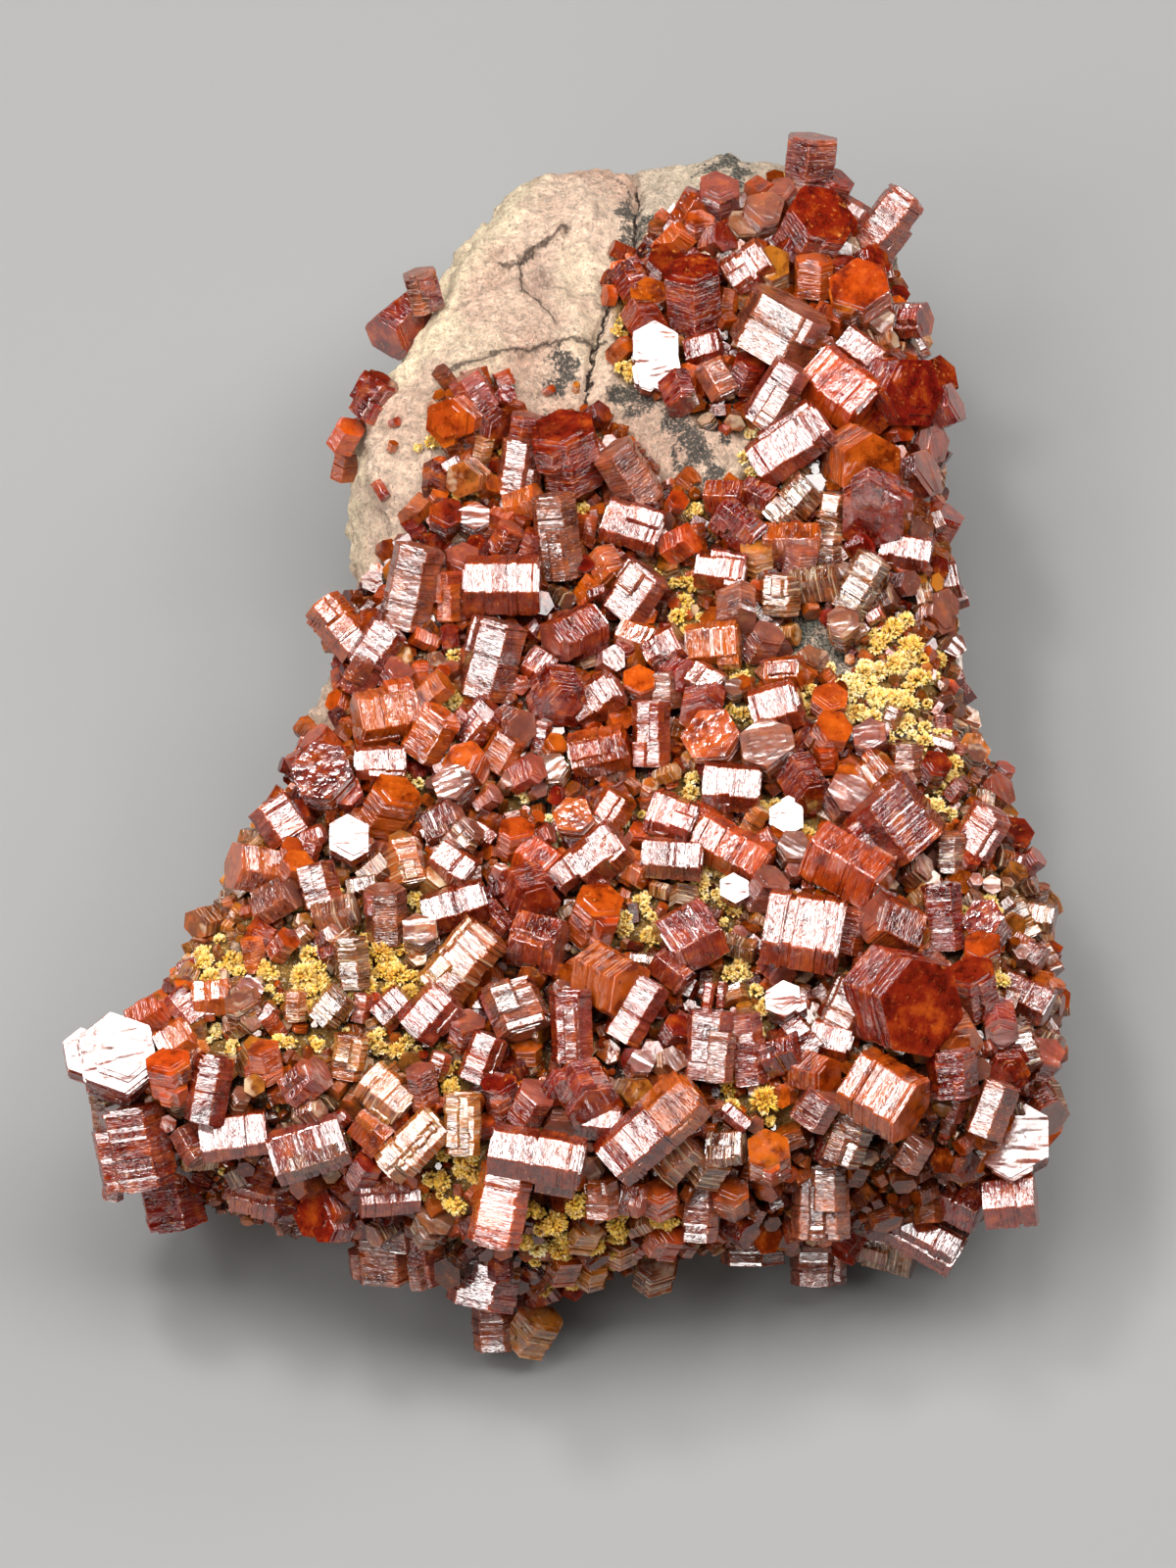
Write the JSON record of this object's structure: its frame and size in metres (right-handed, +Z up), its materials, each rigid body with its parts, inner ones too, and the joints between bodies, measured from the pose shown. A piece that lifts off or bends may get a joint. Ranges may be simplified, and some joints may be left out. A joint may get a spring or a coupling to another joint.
{
  "type": "vanadinite on matrix",
  "caption": "Mineral specimen: six-sided red vanadinite prisms carpeting the face of a tapered pale rock that lies on its flat broken back.",
  "frame": {"origin": "middle of the flat broken back, centred on the specimen's outline and on the surface it rests on", "axes": "+Z up, out of the display face; +Y along the rock towards its narrow bare end; +X to the right as seen from the wide end"},
  "size_m": [0.1, 0.1316, 0.0435],
  "materials": {
    "matrix": "matt, grainy",
    "druse": "uneven, glittering",
    "mauve_crystals": "smooth, resinous gloss",
    "pale_crystals": "smooth, resinous gloss",
    "red_crystals": "smooth, resinous gloss",
    "orange_crystals": "smooth, resinous gloss",
    "brown_crystals": "smooth, resinous gloss"
  },
  "bodies": {
    "root": {"matrix": "matrix", "druse": "druse", "crown_crystals_1": "mauve_crystals", "crown_crystals_2": "mauve_crystals", "crown_right_crystals_1": "pale_crystals", "crown_right_crystals_2": "pale_crystals", "crown_right_crystals_3": "pale_crystals", "upper_centre_crystals_1": "mauve_crystals", "upper_left_crystals_1": "red_crystals", "upper_right_crystals_1": "mauve_crystals", "upper_right_crystals_2": "mauve_crystals", "right_edge_upper_crystals_1": "red_crystals", "centre_upper_crystals_1": "pale_crystals", "centre_upper_crystals_2": "pale_crystals", "ridge_crystals_1": "orange_crystals", "ridge_foot_crystals_1": "mauve_crystals", "ridge_foot_crystals_2": "mauve_crystals", "flank_crystals_1": "mauve_crystals", "left_edge_crystals_1": "orange_crystals", "left_edge_crystals_2": "orange_crystals", "left_edge_crystals_3": "orange_crystals", "left_edge_crystals_4": "orange_crystals", "left_centre_crystals_1": "mauve_crystals", "left_centre_crystals_2": "mauve_crystals", "centre_crystals_1": "pale_crystals", "centre_crystals_2": "pale_crystals", "centre_crystals_3": "pale_crystals", "centre_crystals_4": "pale_crystals", "centre_crystals_5": "pale_crystals", "middle_crystals_1": "pale_crystals", "middle_crystals_2": "pale_crystals", "right_centre_crystals_1": "orange_crystals", "right_edge_crystals_1": "pale_crystals", "right_edge_crystals_2": "pale_crystals", "lower_centre_crystals_1": "red_crystals", "lower_centre_crystals_2": "red_crystals", "lower_centre_crystals_3": "red_crystals", "lower_centre_crystals_4": "red_crystals", "lower_centre_crystals_5": "red_crystals", "lower_centre_crystals_6": "red_crystals", "lower_right_crystals_1": "mauve_crystals", "lower_right_crystals_2": "mauve_crystals", "lower_right_crystals_3": "mauve_crystals", "lower_right_crystals_4": "mauve_crystals", "left_foot_crystals_1": "orange_crystals", "left_foot_crystals_2": "orange_crystals", "left_lower_crystals_1": "mauve_crystals", "left_lower_crystals_2": "mauve_crystals", "foot_crystals_1": "orange_crystals", "foot_crystals_2": "orange_crystals", "foot_crystals_3": "orange_crystals", "foot_crystals_4": "orange_crystals", "foot_right_crystals_1": "brown_crystals", "foot_right_crystals_2": "brown_crystals", "foot_right_crystals_3": "brown_crystals", "foot_right_crystals_4": "brown_crystals"}
  },
  "joints": []
}
